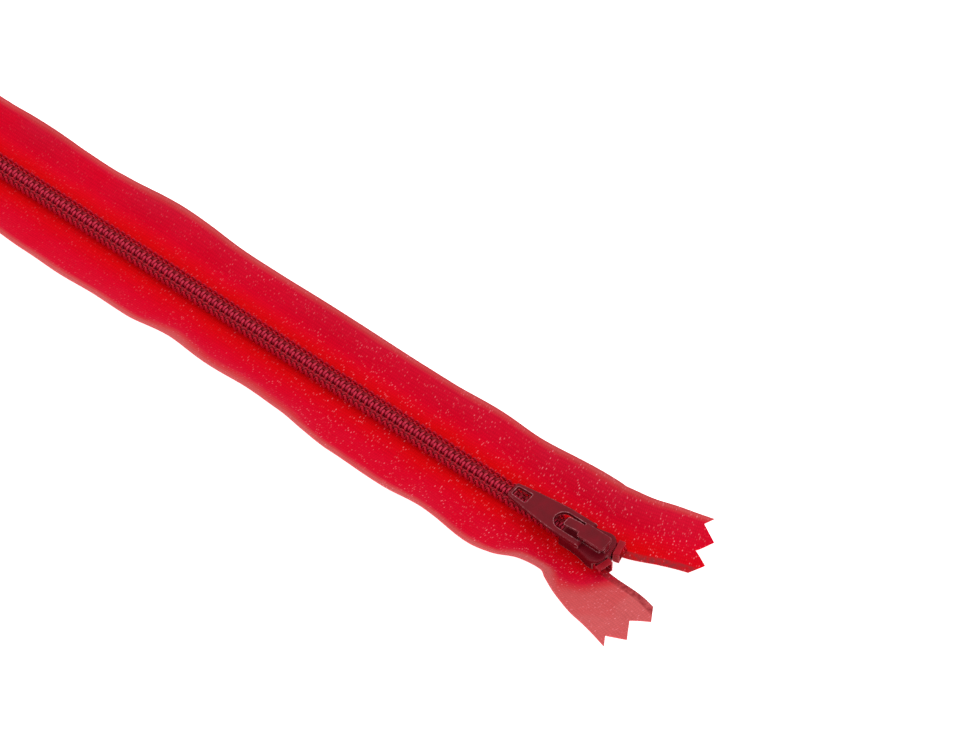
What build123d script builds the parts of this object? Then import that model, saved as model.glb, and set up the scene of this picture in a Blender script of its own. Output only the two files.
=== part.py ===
"""Closed-end nylon coil zipper with an auto-lock slider, closed, lying face up.

Units are millimetres. +X runs along the chain from the bottom stop to the top
end, +Y is the left side seen from the bottom stop, and +Z is up. The origin is
in the middle of the zipper's length, on the surface that it lies on.

"Chain" lengths x are measured along the chain from the lower edge of the bottom
stop, and offsets t outwards from the line where the two coils meet. Above the
slider's throat that line forks, and each side bends away from the other.
"""

from build123d import *
import math
import os

# ---- driving sizes ----------------------------------------------------------
# zipper and tape
zipper_length = 180.0  # lower edge of the bottom stop to the top of the slider
bottom_tail = 14.0  # tape below the bottom stop, to the points of the cut
top_tail = 15.9  # tape above the slider, to the points of the cut
tape_width = 12.0
tape_thickness = 0.35
tape_gap = 1.0  # between the inner edges of the two closed tapes
margin_width = 5.6  # flat outer part of a tape, where it is sewn in
ridge_width = 4.3  # half of the raised middle that carries the chain
pink_pitch = 5.45  # zigzag of the pinked ends
pink_depth = 2.7
bottom_pink_phase = -1.6  # offset of one point of each zigzag
top_pink_phase = 2.85

# coil
coil_pitch = 1.3
coil_height = 1.6
coil_width = 2.6
head_reach = 0.4  # how far a head passes the middle of the chain
leg_width = 0.4
head_width = 0.52
head_tip_width = 0.28
head_wall = 0.6  # head's length in from its tip
head_taper_end = 0.0  # offset where a head reaches its full width
back_wall = 0.45
loop_wall = 0.5  # height of the upper and of the lower legs

# cord and threads
cord_height = 0.5
cord_side_gap = 0.1  # from the heads of the other coil, and from the back wall
thread_height = 0.12
thread_width = 0.2
inner_seam_offset = 1.25
outer_seam_offset = 1.85
looper_width = 0.9

# slider
slider_length = 9.4
wing_thickness = 0.7
flange_thickness = 0.45
run_clearance = 0.1  # between the slider and what runs through it
flange_tape_gap = 0.15
fork_angle = 14.0  # turn of each side inside the slider, degrees
fork_radius = 16.0  # of the line that the coil follows, larger than a tape is wide
fork_setback = 4.8  # corner of the fork, back from the slider's front
shoulder_radius = 2.0
heel_radius = 0.7
edge_round = 0.22
wedge_corner_radius = 0.3

# crown, cap, spring and pull
bar_setback = 5.2  # the pull's crossbar, back from the slider's front
bar_diameter = 0.7
bar_lift = 0.2  # under the crossbar, over the upper wing
bar_clearance = 0.08
crown_inner = 0.62  # half the gap between the two crown walls
crown_wall = 0.6
crown_front_setback = 1.3
crown_rear_setback = 5.95
leaf_thickness = 0.14
leaf_half_width = 0.45
leaf_gap = 0.05
leaf_front_setback = 1.6
prong_setback = 6.26  # middle of the locking prong
prong_length = 0.28
prong_inner = 0.45
prong_outer = 0.85
prong_bite = 0.35  # how deep the prong stands in the coil
prong_hole_gap = 0.2
lock_lift = 0.4  # of the prong when the pull is raised
cap_thickness = 0.4
cap_half_width = 1.62
cap_front_setback = 0.45
cap_rear_setback = 6.1
cap_front_radius = 0.55
cap_edge_round = 0.12
tongue_half_width = 0.95
tongue_bend_setback = 6.6
tongue_tip_setback = 9.5
tongue_drop = 0.55
foot_half_width = 0.75
pull_length = 16.15  # crossbar to tip
pull_thickness = 0.8
pull_half_width = 2.88
pull_tip_half_width = 1.55
pull_middle_share = 0.58  # of the full width, halfway along the taper
pull_parallel = 5.2  # crossbar to where the sides begin to taper
pull_tip_radius = 0.4
arm_width = 1.03
arm_eye_radius = 0.45
keyhole_end = 6.6  # crossbar to the round end of the keyhole
eyelet_start = 12.45
eyelet_end = 15.6
eyelet_start_half_width = 1.15
eyelet_end_half_width = 1.0
eyelet_radius = 0.28
pull_rest_gap = 0.06  # between the resting pull and the slider's heel
pull_edge_round = 0.16

# stops
stop_length = 4.2
stop_thickness = 0.5
stop_gap = 0.08
prong_slot_gap = 0.1
stop_leg_length = 1.1
stop_clinch = 1.15  # how far a clinched leg turns in under the tape
stop_corner_radius = 0.4
stop_edge_round = 0.15
top_stop_length = 1.2
top_stop_thickness = 0.22
top_stop_edge_round = 0.14
top_stop_shoulder_relief = 0.45  # room for its outer corner at the slider's round shoulder
coil_end_past_stop = 0.35

# ---- dependent sizes --------------------------------------------------------
fork = math.radians(fork_angle)
chain_half = coil_width - head_reach
tape_inner = tape_gap / 2
tape_outer = tape_inner + tape_width
margin_start = tape_outer - margin_width

# heights, from the surface up
channel_floor = wing_thickness
looper_bottom = channel_floor + run_clearance
tape_bottom = looper_bottom + thread_height
tape_top = tape_bottom + tape_thickness
coil_top = tape_top + coil_height
seam_top = coil_top + thread_height
channel_ceiling = seam_top + run_clearance
wing_top = channel_ceiling + wing_thickness
bar_z = wing_top + bar_lift + bar_diameter / 2
leaf_bottom = bar_z + bar_diameter / 2 + leaf_gap
leaf_top = leaf_bottom + leaf_thickness
cap_bottom = leaf_top + lock_lift + leaf_gap
cap_top = cap_bottom + cap_thickness

# chain lengths x
slider_front = zipper_length
slider_rear = slider_front - slider_length
bar_x = slider_front - bar_setback
fork_tangent = fork_radius * math.tan(fork / 2)
fork_start = slider_front - fork_setback - fork_tangent
fork_end = fork_start + fork_radius * fork
straight_past_fork = slider_front - fork_start - fork_radius * math.sin(fork)
mouth_x = fork_end + straight_past_fork / math.cos(fork)
tape_top_end = mouth_x + top_tail
top_stop_reach = chain_half + top_stop_thickness
top_stop_start = mouth_x + top_stop_reach * math.tan(fork) - top_stop_shoulder_relief
coil_end = top_stop_start + top_stop_length + coil_end_past_stop


def chain_point(x: float, t: float) -> tuple[float, float]:
    """Plan position of chain length x and outward offset t, for the left side."""
    turn = min(max((x - fork_start) / fork_radius, 0.0), fork)
    radius = fork_radius - t
    before = min(x, fork_start)
    after = max(x - fork_end, 0.0)
    px = before + radius * math.sin(turn) + after * math.cos(turn)
    py = fork_radius - radius * math.cos(turn) + after * math.sin(turn)
    return px, py


def pinked_points(end_x: float, phase: float, t_from: float, t_to: float, way: int):
    """Corners (x, t) of a zigzag cut whose points reach end_x."""
    half = pink_pitch / 2
    first = math.floor((t_from - phase) / half) - 1
    last = math.ceil((t_to - phase) / half) + 1
    return [
        (end_x - way * (pink_depth if k % 2 else 0.0), phase + k * half)
        for k in range(first, last + 1)
    ]


def zigzag_x(end_x: float, phase: float, t: float, way: int) -> float:
    """Chain length of the zigzag cut at offset t."""
    share = abs((t - phase) / (pink_pitch / 2)) % 2.0
    return end_x - way * pink_depth * min(share, 2.0 - share)


def farthest_tip() -> float:
    """Plan x of the point of either top tail that lies furthest out."""
    reach = []
    for side in (1, -1):
        zigzag = pinked_points(tape_top_end, side * top_pink_phase, tape_inner, tape_outer, 1)
        inside = [(x, t) for x, t in zigzag if tape_inner < t < tape_outer]
        for t in (tape_inner, tape_outer):
            inside.append((zigzag_x(tape_top_end, side * top_pink_phase, t, 1), t))
        reach += [chain_point(x, t)[0] for x, t in inside]
    return max(reach)


# the origin is midway between the points of the two cuts
middle_x = (farthest_tip() - bottom_tail) / 2


def place(x: float, t: float, side: int) -> tuple[float, float]:
    """Plan position in the zipper's frame."""
    px, py = chain_point(x, t)
    return px - middle_x, side * py


def lane(t: float, side: int, x_from: float, x_to: float):
    """Adds a line that follows the chain at offset t to the line being built."""
    stops = [fork_start, fork_end]
    if x_from > x_to:
        stops.reverse()
    low, high = sorted((x_from, x_to))
    ends = [x_from] + [x for x in stops if low < x < high] + [x_to]
    for a, b in zip(ends, ends[1:]):
        if min(a, b) >= fork_start - 1e-9 and max(a, b) <= fork_end + 1e-9:
            ThreePointArc(place(a, t, side), place((a + b) / 2, t, side), place(b, t, side))
        else:
            Line(place(a, t, side), place(b, t, side))


def strip(t_in: float, t_out: float, side: int, x_from: float, x_to: float):
    """Adds the closed outline between two offsets to the line being built."""
    lane(t_in, side, x_from, x_to)
    Line(place(x_to, t_in, side), place(x_to, t_out, side))
    lane(t_out, side, x_to, x_from)
    Line(place(x_from, t_out, side), place(x_from, t_in, side))


def finish(piece: BuildPart, name: str):
    """Names a finished piece and writes it."""
    piece.part.label = name
    export_step(piece.part, f"parts/{name}.step")


# ---- the two sides ----------------------------------------------------------
def make_tape(side: int) -> BuildPart:
    """Woven tape: raised middle, slope and flat margin, pinked at both ends."""
    reach = pink_pitch
    with BuildPart() as tape:
        with BuildSketch(Plane.YZ.offset(-bottom_tail - middle_x)):
            with BuildLine():
                Polyline(
                    (side * tape_inner, tape_bottom),
                    (side * ridge_width, tape_bottom),
                    (side * margin_start, 0),
                    (side * tape_outer, 0),
                    (side * tape_outer, tape_thickness),
                    (side * margin_start, tape_thickness),
                    (side * ridge_width, tape_top),
                    (side * tape_inner, tape_top),
                    close=True,
                )
            make_face()
        with BuildLine(mode=Mode.PRIVATE) as route:
            lane(0, side, -bottom_tail, tape_top_end)
        sweep(path=route.wires()[0])
        for end_x, phase, way in (
            (-bottom_tail, side * bottom_pink_phase, -1),
            (tape_top_end, side * top_pink_phase, 1),
        ):
            zigzag = pinked_points(end_x, phase, tape_inner, tape_outer, way)
            beyond = end_x + way * reach
            waste = zigzag + [(beyond, zigzag[-1][1]), (beyond, zigzag[0][1])]
            with BuildSketch():
                with BuildLine():
                    Polyline(*[place(x, t, side) for x, t in waste], close=True)
                make_face()
            extrude(amount=tape_top, mode=Mode.SUBTRACT)
        with BuildSketch():
            for leg_x in stop_leg_middles:
                with Locations(place(leg_x, stop_leg_middle, side)):
                    Rectangle(
                        stop_leg_length + 2 * prong_slot_gap,
                        stop_thickness + 2 * prong_slot_gap,
                    )
        extrude(amount=tape_top, mode=Mode.SUBTRACT)
    return tape


def make_coil(side: int) -> BuildPart:
    """Monofilament coil: a leg and a head for each turn, joined along the back."""
    phase = 0.5 if side > 0 else 0.0
    first_x = prong_x + phase * coil_pitch
    before = math.floor((first_x - leg_width) / coil_pitch)
    after = math.floor((coil_end - leg_width - first_x) / coil_pitch)
    spine = chain_half - back_wall
    profile = [
        (-leg_width / 2, spine),
        (-head_width / 2, head_taper_end),
        (-head_tip_width / 2, -head_reach),
        (head_tip_width / 2, -head_reach),
        (head_width / 2, head_taper_end),
        (leg_width / 2, spine),
    ]
    with BuildPart() as coil:
        with BuildSketch(Plane.XY.offset(tape_top)):
            with BuildLine():
                comb = [place(0, spine, side)]
                for turn in range(-before, after + 1):
                    turn_x = first_x + turn * coil_pitch
                    comb += [place(turn_x + dx, t, side) for dx, t in profile]
                comb.append(place(coil_end, spine, side))
                Polyline(*comb)
                Line(comb[-1], place(coil_end, chain_half, side))
                lane(chain_half, side, coil_end, 0)
                Line(place(0, chain_half, side), comb[0])
            make_face()
        extrude(amount=coil_height)
        with BuildSketch(Plane.XY.offset(tape_top + loop_wall)):
            with BuildLine():
                strip(head_wall - head_reach, spine, side, -1, coil_end + 1)
            make_face()
        extrude(amount=coil_height - 2 * loop_wall, mode=Mode.SUBTRACT)
    return coil


def make_strip(side: int, t_in: float, t_out: float, z: float, height: float, x_to: float):
    """Cord or thread laid along the chain, from the bottom stop to x_to."""
    with BuildPart() as run:
        with BuildSketch(Plane.XY.offset(z)):
            with BuildLine():
                strip(t_in, t_out, side, 0, x_to)
            make_face()
        extrude(amount=height)
    return run


def make_top_stop(side: int) -> BuildPart:
    """Small clamp round one coil's end, open towards the tape's margin."""
    wall_in = -head_reach - top_stop_thickness
    ends = (top_stop_start, top_stop_start + top_stop_length)
    jaws = (
        (looper_bottom - top_stop_thickness, chain_half),
        (seam_top, top_stop_reach),
    )
    with BuildPart() as clamp:
        for z, t_out in jaws:
            with BuildSketch(Plane.XY.offset(z)):
                with BuildLine():
                    strip(wall_in, t_out, side, *ends)
                make_face()
            extrude(amount=top_stop_thickness)
        with BuildSketch(Plane.XY.offset(looper_bottom)):
            with BuildLine():
                strip(wall_in, -head_reach, side, *ends)
            make_face()
        extrude(amount=seam_top - looper_bottom)
        fillet(clamp.edges().group_by(Axis.Z)[-1], top_stop_edge_round)
    return clamp


# ---- bottom stop ------------------------------------------------------------
stop_leg_inner = chain_half + stop_gap
stop_leg_middle = stop_leg_inner + stop_thickness / 2
stop_leg_middles = (stop_leg_length / 2, stop_length - stop_leg_length / 2)
prong_x = slider_front - prong_setback


def make_bottom_stop() -> BuildPart:
    """Staple over the closed chain, its four legs clinched under the tapes."""
    bridge_bottom = seam_top + stop_gap
    bridge_top = bridge_bottom + stop_thickness
    clinch_top = looper_bottom - stop_gap
    clinch_bottom = clinch_top - stop_thickness / 2
    leg_outer = stop_leg_inner + stop_thickness
    with BuildPart() as stop:
        with BuildSketch(Plane.YZ.offset(-middle_x)):
            with BuildLine():
                right_foot = (-leg_outer + stop_clinch, clinch_top)
                Polyline(
                    right_foot,
                    (-stop_leg_inner, clinch_top),
                    (-stop_leg_inner, bridge_bottom),
                    (stop_leg_inner, bridge_bottom),
                    (stop_leg_inner, clinch_top),
                    (leg_outer - stop_clinch, clinch_top),
                    (leg_outer - stop_clinch, clinch_bottom),
                    (leg_outer, clinch_bottom),
                    (leg_outer, bridge_top),
                    (-leg_outer, bridge_top),
                    (-leg_outer, clinch_bottom),
                    (-leg_outer + stop_clinch, clinch_bottom),
                    close=True,
                )
            make_face()
        extrude(amount=stop_length)
        fillet(stop.edges().filter_by(Axis.X).group_by(Axis.Z)[-1], stop_corner_radius)
        with BuildSketch(Plane.XY):
            with Locations((stop_length / 2 - middle_x, 0)):
                Rectangle(stop_length - 2 * stop_leg_length, 2 * leg_outer + 1)
        extrude(amount=bridge_bottom - stop_thickness, mode=Mode.SUBTRACT)
        fillet(stop.edges().group_by(Axis.Z)[-1], stop_edge_round)
    return stop


# ---- slider -----------------------------------------------------------------
def slider_outline():
    """Adds the slider's outline to the line being built: heel, fork and front."""
    edge = chain_half + run_clearance + flange_thickness
    front_x = slider_front - middle_x
    # where each flank, following the fork, comes to the front
    front_along = mouth_x + edge * math.tan(fork)
    corner_y = place(front_along, edge, 1)[1]
    rear_x, rear_y = place(slider_rear, edge, 1)
    for side in (1, -1):
        lane(edge, side, slider_rear, front_along)
    Line((front_x, corner_y), (front_x, -corner_y))
    Line((rear_x, rear_y), (rear_x, -rear_y))


def front_corners(sketch: BuildSketch):
    """The two outer corners of a slider plan's front."""
    return sketch.vertices().group_by(Axis.X)[-1]


def make_wing(z: float, outer_face: Axis) -> BuildPart:
    """One wing of the slider, its outer edge rounded."""
    with BuildPart() as wing:
        with BuildSketch(Plane.XY.offset(z)) as plan:
            with BuildLine():
                slider_outline()
            make_face()
            fillet(front_corners(plan), shoulder_radius)
            fillet(plan.vertices().group_by(Axis.X)[0], heel_radius)
        extrude(amount=wing_thickness)
        fillet(wing.faces().sort_by(outer_face)[-1].edges(), edge_round)
    return wing


def make_slider_body() -> BuildPart:
    """Cast body: two wings, flanges, wedge between the coils and crown walls."""
    lower_wing = make_wing(0, -Axis.Z).part
    upper_wing = make_wing(channel_ceiling, Axis.Z).part
    flange_bottom = tape_top + flange_tape_gap
    front_x = slider_front - middle_x
    with BuildPart() as body:
        add(lower_wing)
        add(upper_wing)
        with BuildSketch(Plane.XY.offset(flange_bottom)) as flanges:
            with BuildLine():
                slider_outline()
            make_face()
            fillet(front_corners(flanges), shoulder_radius)
            fillet(flanges.vertices().group_by(Axis.X)[0], heel_radius)
            channel = (-head_reach, chain_half + run_clearance)
            for side in (1, -1):
                with BuildLine():
                    strip(*channel, side, slider_rear - 1, mouth_x + 2)
                make_face(mode=Mode.SUBTRACT)
            with Locations((front_x, 0)):
                Rectangle(2 * straight_past_fork, 4 * head_reach, mode=Mode.SUBTRACT)
        extrude(amount=channel_ceiling - flange_bottom)
        # wedge: its sides follow the heads of the two coils
        inner = -head_reach - run_clearance
        mouth_edge = chain_point(mouth_x, inner)
        slope = math.tan(fork)
        wedge_x = mouth_edge[0] - mouth_edge[1] / slope
        nose_y = (slider_front - wedge_x) * slope
        nose = (slider_front - middle_x, nose_y)
        with BuildSketch(Plane.XY.offset(channel_floor)) as wedge:
            with BuildLine():
                Polyline(nose, (wedge_x - middle_x, 0), (nose[0], -nose[1]), close=True)
            make_face()
            fillet(wedge.vertices().group_by(Axis.X)[-1], wedge_corner_radius)
        extrude(amount=channel_ceiling - channel_floor)
        # crown walls with a saddle for the crossbar
        wall_length = crown_rear_setback - crown_front_setback
        wall_x = slider_front - middle_x - (crown_rear_setback + crown_front_setback) / 2
        with BuildSketch(Plane.XY.offset(wing_top)):
            for side in (1, -1):
                with Locations((wall_x, side * (crown_inner + crown_wall / 2))):
                    Rectangle(wall_length, crown_wall)
        extrude(amount=cap_bottom - wing_top)
        saddle_width = bar_diameter + 2 * bar_clearance
        saddle_depth = cap_bottom - bar_z
        with BuildSketch(Plane.XZ.offset(-crown_inner - crown_wall)):
            with Locations((bar_x - middle_x, bar_z)):
                Circle(saddle_width / 2)
            with Locations((bar_x - middle_x, bar_z + saddle_depth / 2)):
                Rectangle(saddle_width, saddle_depth)
        extrude(amount=2 * (crown_inner + crown_wall), mode=Mode.SUBTRACT)
        # seat under the fixed end of the spring
        seat_x = slider_front - middle_x - leaf_front_setback - leaf_half_width
        with BuildSketch(Plane.XY.offset(wing_top)):
            with Locations((seat_x, 0)):
                Rectangle(2 * leaf_half_width, 2 * crown_inner)
        extrude(amount=leaf_bottom - leaf_gap - wing_top)
        # hole for the locking prong
        with BuildSketch(Plane.XY.offset(channel_ceiling)):
            with Locations((prong_x - middle_x, (prong_inner + prong_outer) / 2)):
                Rectangle(
                    prong_length + 2 * prong_hole_gap,
                    prong_outer - prong_inner + 2 * prong_hole_gap,
                )
        extrude(amount=wing_thickness, mode=Mode.SUBTRACT)
    return body


def make_slider_cap() -> BuildPart:
    """Pressed cap: flat plate, sloping tongue behind and a foot in front."""
    front = slider_front - middle_x
    rear_x = front - cap_rear_setback
    foot_x = front - cap_front_setback
    tip_x = front - tongue_tip_setback
    bend_x = front - tongue_bend_setback
    with BuildPart() as cap:
        with BuildSketch(Plane.XY.offset(cap_bottom)) as plate:
            with Locations(((rear_x + foot_x) / 2, 0)):
                Rectangle(foot_x - rear_x, 2 * cap_half_width)
            fillet(plate.vertices().group_by(Axis.X)[0], cap_thickness)
            fillet(plate.vertices().group_by(Axis.X)[-1], cap_front_radius)
        extrude(amount=cap_thickness)
        with BuildSketch(Plane.XZ.offset(-tongue_half_width)):
            with BuildLine():
                Polyline(
                    (rear_x + cap_thickness, cap_bottom),
                    (bend_x, cap_bottom),
                    (tip_x, cap_bottom - tongue_drop),
                    (tip_x, cap_top - tongue_drop),
                    (bend_x, cap_top),
                    (rear_x + cap_thickness, cap_top),
                    close=True,
                )
            make_face()
        extrude(amount=2 * tongue_half_width)
        with BuildSketch(Plane.XY.offset(wing_top)):
            with Locations((foot_x - cap_thickness / 2, 0)):
                Rectangle(cap_thickness, 2 * foot_half_width)
        extrude(amount=cap_bottom - wing_top)
        fillet(cap.edges().filter_by(Axis.Z).group_by(Axis.X)[0], cap_thickness)
        fillet(cap.faces().sort_by(Axis.Z)[-1].edges(), cap_edge_round)
    return cap


def make_lock_spring() -> BuildPart:
    """Leaf spring under the cap, with a prong that stands between two turns."""
    front_x = slider_front - middle_x - leaf_front_setback
    rear_x = prong_x - middle_x - prong_length / 2
    prong_tip = coil_top - prong_bite
    with BuildPart() as spring:
        with BuildSketch(Plane.XY.offset(leaf_bottom)):
            with Locations(((front_x + rear_x) / 2, 0)):
                Rectangle(front_x - rear_x, 2 * leaf_half_width)
            with Locations((prong_x - middle_x, (prong_outer - leaf_half_width) / 2)):
                Rectangle(prong_length, prong_outer + leaf_half_width)
        extrude(amount=leaf_thickness)
        with BuildSketch(Plane.XY.offset(prong_tip)):
            with Locations((prong_x - middle_x, (prong_inner + prong_outer) / 2)):
                Rectangle(prong_length, prong_outer - prong_inner)
        extrude(amount=leaf_bottom - prong_tip)
        fillet(spring.edges().filter_by(Axis.Y).group_by(Axis.Z)[0], prong_length / 4)
    return spring


def make_pull_tab() -> BuildPart:
    """Pull: two arms with a crossbar, a keyhole, a tapering plate and an eyelet.

    It is made flat, with its crossbar on the Y axis and its tip towards +X, and
    then laid on the slider, tipped down so that it rests on the slider's heel.
    """
    heel_reach = bar_x - slider_rear
    sink = bar_lift + bar_diameter / 2 - pull_thickness / 2 - pull_rest_gap
    tilt = math.atan2(sink, heel_reach)
    lying = Plane(
        origin=(bar_x - middle_x, 0, bar_z),
        x_dir=(-math.cos(tilt), 0, -math.sin(tilt)),
        z_dir=(-math.sin(tilt), 0, math.cos(tilt)),
    )
    keyhole_radius = pull_half_width - arm_width
    mid_u = (pull_parallel + pull_length) / 2
    mid_width = pull_tip_half_width + (pull_half_width - pull_tip_half_width) * pull_middle_share
    with BuildPart() as pull:
        with BuildSketch() as plate:
            with BuildLine():
                for side in (1, -1):
                    Line((0, side * pull_half_width), (pull_parallel, side * pull_half_width))
                    ThreePointArc(
                        (pull_parallel, side * pull_half_width),
                        (mid_u, side * mid_width),
                        (pull_length, side * pull_tip_half_width),
                    )
                Line((pull_length, pull_tip_half_width), (pull_length, -pull_tip_half_width))
                Line((0, pull_half_width), (0, -pull_half_width))
            make_face()
            fillet(plate.vertices().group_by(Axis.X)[-1], pull_tip_radius)
        extrude(amount=pull_thickness / 2, both=True)
        broad_faces = pull.faces().sort_by(SortBy.AREA)[-2:]
        fillet(broad_faces.edges(), pull_edge_round)
        with BuildSketch():
            keyhole_middle = keyhole_end - keyhole_radius
            with Locations((keyhole_middle, 0)):
                Circle(keyhole_radius)
            with Locations((keyhole_middle / 2 - pull_thickness, 0)):
                Rectangle(keyhole_middle + 2 * pull_thickness, 2 * keyhole_radius)
        extrude(amount=pull_thickness, both=True, mode=Mode.SUBTRACT)
        with BuildSketch() as eyelet:
            with BuildLine():
                Polyline(
                    (eyelet_start, eyelet_start_half_width),
                    (eyelet_end, eyelet_end_half_width),
                    (eyelet_end, -eyelet_end_half_width),
                    (eyelet_start, -eyelet_start_half_width),
                    close=True,
                )
            make_face()
            fillet(eyelet.vertices(), eyelet_radius)
        extrude(amount=pull_thickness, both=True, mode=Mode.SUBTRACT)
        arm_starts = (-pull_half_width, pull_half_width - arm_width)
        for start in arm_starts:
            with BuildSketch(Plane.XZ.offset(start)):
                Circle(arm_eye_radius)
            extrude(amount=arm_width)
        with BuildSketch(Plane.XZ.offset(-pull_half_width + arm_width / 2)):
            Circle(bar_diameter / 2)
        extrude(amount=2 * pull_half_width - arm_width)
    with BuildPart() as laid:
        with Locations(lying.location):
            add(pull.part)
    return laid


# ---- build and write --------------------------------------------------------
os.makedirs("parts", exist_ok=True)

for side_name, side_sign in (("left", 1), ("right", -1)):
    cord_in = head_reach + cord_side_gap
    cord_out = chain_half - back_wall - cord_side_gap
    cord_z = tape_top + (coil_height - cord_height) / 2
    middle_seam = (inner_seam_offset + outer_seam_offset) / 2
    finish(make_tape(side_sign), f"{side_name}_tape")
    finish(make_coil(side_sign), f"{side_name}_coil")
    finish(
        make_strip(side_sign, cord_in, cord_out, cord_z, cord_height, coil_end),
        f"{side_name}_filler_cord",
    )
    for seam_name, offset in (("inner", inner_seam_offset), ("outer", outer_seam_offset)):
        edges = (offset - thread_width / 2, offset + thread_width / 2)
        finish(
            make_strip(side_sign, *edges, coil_top, thread_height, coil_end),
            f"{side_name}_{seam_name}_seam",
        )
    finish(
        make_strip(
            side_sign,
            middle_seam - looper_width / 2,
            middle_seam + looper_width / 2,
            looper_bottom,
            thread_height,
            coil_end,
        ),
        f"{side_name}_looper_thread",
    )
    finish(make_top_stop(side_sign), f"{side_name}_top_stop")

finish(make_bottom_stop(), "bottom_stop")
finish(make_slider_body(), "slider_body")
finish(make_slider_cap(), "slider_cap")
finish(make_lock_spring(), "lock_spring")
finish(make_pull_tab(), "pull_tab")
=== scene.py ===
"""Looks of a closed-end coil zipper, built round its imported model.

Lengths are in metres in the model's frame: +X runs along the chain from the
bottom stop to the top end, +Y is the left tape and +Z is up. Places along the
zipper are "chain lengths" x, from the lower edge of the bottom stop, and
outward offsets t from the middle of the chain.
"""

import logging
import math
from dataclasses import dataclass, field
from enum import Enum

import bpy
import numpy as np
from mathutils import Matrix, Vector


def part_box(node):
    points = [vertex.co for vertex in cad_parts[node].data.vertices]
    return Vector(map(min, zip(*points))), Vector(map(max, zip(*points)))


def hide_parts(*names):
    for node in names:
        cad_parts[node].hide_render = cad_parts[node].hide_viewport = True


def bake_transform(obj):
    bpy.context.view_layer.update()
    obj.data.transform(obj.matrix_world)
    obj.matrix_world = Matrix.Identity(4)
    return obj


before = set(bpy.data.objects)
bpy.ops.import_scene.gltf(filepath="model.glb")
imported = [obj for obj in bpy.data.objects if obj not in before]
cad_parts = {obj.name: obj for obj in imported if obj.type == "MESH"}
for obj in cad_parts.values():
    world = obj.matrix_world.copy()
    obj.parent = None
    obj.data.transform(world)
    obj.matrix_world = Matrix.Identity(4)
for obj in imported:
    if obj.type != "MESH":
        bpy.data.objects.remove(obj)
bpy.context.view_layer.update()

LOG = logging.getLogger("zipper")
MM = 0.001


class Side(Enum):
    """The two halves of the zipper."""

    LEFT = 1
    RIGHT = -1

    @property
    def word(self) -> str:
        """The half's name in node and body names."""
        return self.name.lower()

    @property
    def body(self) -> str:
        """The CAD body that the half's free end rides on."""
        return f"{self.word}_side"

    def node(self, name: str) -> str:
        """Name of one of this half's nodes.

        Args:
            name: the node's name without its side.

        Returns:
            The full node name.
        """
        return f"{self.word}_{name}"


# ---- small helpers ----------------------------------------------------------
def linear(hex_colour: str) -> tuple[float, float, float, float]:
    """Turns an sRGB hex colour into linear values.

    Args:
        hex_colour: six hex digits.

    Returns:
        Linear red, green, blue and an alpha of one.
    """
    parts = [int(hex_colour[k : k + 2], 16) / 255 for k in (0, 2, 4)]
    line = [c / 12.92 if c <= 0.04045 else ((c + 0.055) / 1.055) ** 2.4 for c in parts]
    return (*line, 1.0)


def smooth(value: np.ndarray | float) -> np.ndarray | float:
    """Smooth step of a value, which is first held between 0 and 1.

    Args:
        value: one number or an array.

    Returns:
        The eased value or values.
    """
    held = np.clip(value, 0.0, 1.0)
    return held * held * (3 - 2 * held)


def deselect() -> None:
    """Leaves nothing selected, in object mode."""
    if bpy.context.object and bpy.context.object.mode != "OBJECT":
        bpy.ops.object.mode_set(mode="OBJECT")
    bpy.ops.object.select_all(action="DESELECT")


def choose(piece: bpy.types.Object) -> None:
    """Makes a piece the only one selected, and the active one.

    Args:
        piece: the object.
    """
    deselect()
    piece.select_set(True)
    bpy.context.view_layer.objects.active = piece


def read_points(piece: bpy.types.Object) -> np.ndarray:
    """Vertex positions of a piece.

    Args:
        piece: the mesh object.

    Returns:
        One row for each vertex.
    """
    flat = np.empty(len(piece.data.vertices) * 3, np.float64)
    piece.data.vertices.foreach_get("co", flat)
    return flat.reshape(-1, 3)


def write_points(piece: bpy.types.Object, points: np.ndarray) -> None:
    """Writes vertex positions back to a piece.

    Args:
        piece: the mesh object.
        points: one row for each vertex.
    """
    piece.data.vertices.foreach_set("co", points.astype(np.float32).ravel())
    piece.data.update()


def apply_all(piece: bpy.types.Object) -> None:
    """Applies a piece's modifiers in their order.

    Args:
        piece: the mesh object.
    """
    choose(piece)
    for modifier in list(piece.modifiers):
        bpy.ops.object.modifier_apply(modifier=modifier.name)


def shade(piece: bpy.types.Object, degrees: float = 180.0) -> None:
    """Shades a piece smooth up to an angle.

    Args:
        piece: the mesh object.
        degrees: edges sharper than this stay crisp.
    """
    choose(piece)
    bpy.ops.object.shade_smooth_by_angle(angle=math.radians(degrees))


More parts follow.
